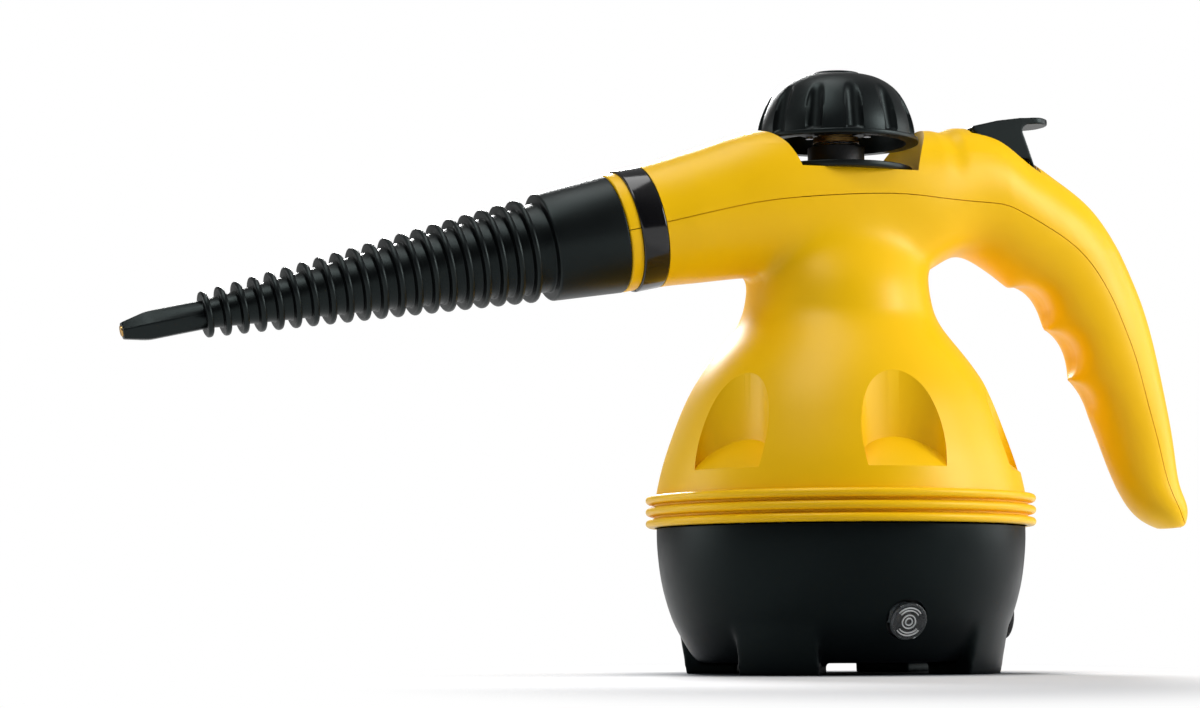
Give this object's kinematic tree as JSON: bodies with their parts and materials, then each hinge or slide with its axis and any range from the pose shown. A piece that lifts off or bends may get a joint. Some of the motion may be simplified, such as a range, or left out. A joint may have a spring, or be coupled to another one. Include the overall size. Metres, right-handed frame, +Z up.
{
  "type": "handheld steam cleaner",
  "caption": "Hand-held steam cleaner: bulb-shaped boiler housing with a looped handle, thumb trigger, screw-down filler cap and finned nozzle.",
  "frame": {"origin": "on the floor under the middle of the boiler's upright axis", "axes": "+Z up along the boiler's axis, +X towards the handle, the spout points to -X and down, -Y is the side with the indicator lens"},
  "size_m": [0.4169, 0.1468, 0.2281],
  "materials": {
    "lower_housing": "moulded, semi-gloss",
    "upper_housing": "moulded, semi-gloss",
    "base_shell": "moulded, satin",
    "clamp_ring": "moulded, glossy",
    "filler_dish": "moulded, matt",
    "filler_neck": "turned",
    "dish_screws": "plain",
    "base_screws": "plain",
    "handle_screws": "plain",
    "boiler_bracket": "pressed sheet",
    "boiler_lower": "die cast",
    "boiler_gasket": "silicone",
    "boiler_upper": "die cast",
    "boiler_bolts": "plain",
    "insulation_jacket": "glass-fibre felt",
    "heating_element": "sheathed",
    "thermostat": "drawn",
    "thermal_cutoff": "plain",
    "terminal_block": "moulded",
    "steam_tube_in": "drawn tube",
    "steam_tube_out": "drawn tube",
    "outlet_nipple": "turned",
    "outlet_seal": "silicone",
    "spout_socket": "moulded",
    "trigger_pin": "ground",
    "valve_body": "machined",
    "valve_gland": "turned",
    "indicator_lens": "clear",
    "lamp_holder": "moulded",
    "neon_lamp": "clear",
    "cord_gland": "moulded",
    "cap_seal": "silicone",
    "cap_washer": "stamped",
    "cap_core": "turned",
    "relief_plug": "turned",
    "relief_spring": "plain",
    "cap_spring": "plain",
    "cap_knob": "moulded, satin",
    "cap_top_disc": "moulded, satin",
    "cap_retainer": "stamped",
    "cap_screws": "plain",
    "relief_ball": "polished",
    "trigger": "moulded, satin",
    "valve_plunger": "turned",
    "valve_spring": "plain",
    "latch_ring": "moulded",
    "nozzle_cone": "moulded, satin",
    "nozzle_jet": "turned",
    "nozzle_liner": "drawn tube"
  },
  "bodies": {
    "base": {"lower_housing": "lower_housing", "upper_housing": "upper_housing", "base_shell": "base_shell", "clamp_ring": "clamp_ring", "filler_dish": "filler_dish", "filler_neck": "filler_neck", "dish_screws": "dish_screws", "base_screws": "base_screws", "handle_screws": "handle_screws", "boiler_bracket": "boiler_bracket", "boiler_lower": "boiler_lower", "boiler_gasket": "boiler_gasket", "boiler_upper": "boiler_upper", "boiler_bolts": "boiler_bolts", "insulation_jacket": "insulation_jacket", "heating_element": "heating_element", "thermostat": "thermostat", "thermal_cutoff": "thermal_cutoff", "terminal_block": "terminal_block", "steam_tube_in": "steam_tube_in", "steam_tube_out": "steam_tube_out", "outlet_nipple": "outlet_nipple", "outlet_seal": "outlet_seal", "spout_socket": "spout_socket", "trigger_pin": "trigger_pin", "valve_body": "valve_body", "valve_gland": "valve_gland", "indicator_lens": "indicator_lens", "lamp_holder": "lamp_holder", "neon_lamp": "neon_lamp", "cord_gland": "cord_gland"},
    "seal": {"cap_seal": "cap_seal"},
    "washer": {"cap_washer": "cap_washer"},
    "core": {"cap_core": "cap_core", "relief_plug": "relief_plug", "relief_spring": "relief_spring", "cap_spring": "cap_spring"},
    "knob": {"cap_knob": "cap_knob", "cap_top_disc": "cap_top_disc", "cap_retainer": "cap_retainer", "cap_screws": "cap_screws"},
    "ball": {"relief_ball": "relief_ball"},
    "trigger": {"trigger": "trigger"},
    "plunger": {"valve_plunger": "valve_plunger", "valve_spring": "valve_spring"},
    "latch": {"latch_ring": "latch_ring"},
    "nozzle": {"nozzle_cone": "nozzle_cone", "nozzle_jet": "nozzle_jet", "nozzle_liner": "nozzle_liner"}
  },
  "joints": [
    {"name": "cap_lift", "type": "slide", "parent": "base", "child": "seal", "axis": [0, 0, 1], "range_m": [0, 0.04]},
    {"name": "cap_rise", "type": "slide", "parent": "seal", "child": "washer", "axis": [0, 0, 1], "range_m": [0, 0.0065]},
    {"name": "cap_turn", "type": "hinge", "parent": "washer", "child": "core", "pos_m": [0, 0, 0.2], "axis": [0, 0, 1], "range_deg": [0, 720]},
    {"name": "cap_press", "type": "slide", "parent": "core", "child": "knob", "axis": [0, 0, -1], "range_m": [0, 0.004], "stiffness_N_per_m": 600, "springref_m": -0.003, "deforming": ["cap_spring"]},
    {"name": "relief_lift", "type": "slide", "parent": "core", "child": "ball", "axis": [0, 0, 1], "range_m": [0, 0.001], "stiffness_N_per_m": 300, "springref_m": -0.004, "deforming": ["relief_spring"]},
    {"name": "trigger_press", "type": "hinge", "parent": "base", "child": "trigger", "pos_m": [0.057, 0, 0.203], "axis": [0, 1, 0], "range_deg": [0, 10], "stiffness_Nm_per_rad": 0.26, "springref_deg": -11.46},
    {"name": "valve_press", "type": "slide", "parent": "base", "child": "plunger", "axis": [0, 0, -1], "range_m": [0, 0.0025], "deforming": ["valve_spring"]},
    {"name": "nozzle_twist", "type": "hinge", "parent": "base", "child": "latch", "pos_m": [-0.0809, 0, 0.1655], "axis": [-0.976, 0, -0.2178], "range_deg": [0, 40]},
    {"name": "nozzle_pull", "type": "slide", "parent": "latch", "child": "nozzle", "axis": [-0.976, 0, -0.2178], "range_m": [0, 0.045]}
  ],
  "couplings": [
    {"joint": "cap_rise", "follows": "cap_turn", "m_per_rad": 0.00047746},
    {"joint": "valve_press", "follows": "trigger_press", "m_per_rad": 0.0125}
  ]
}
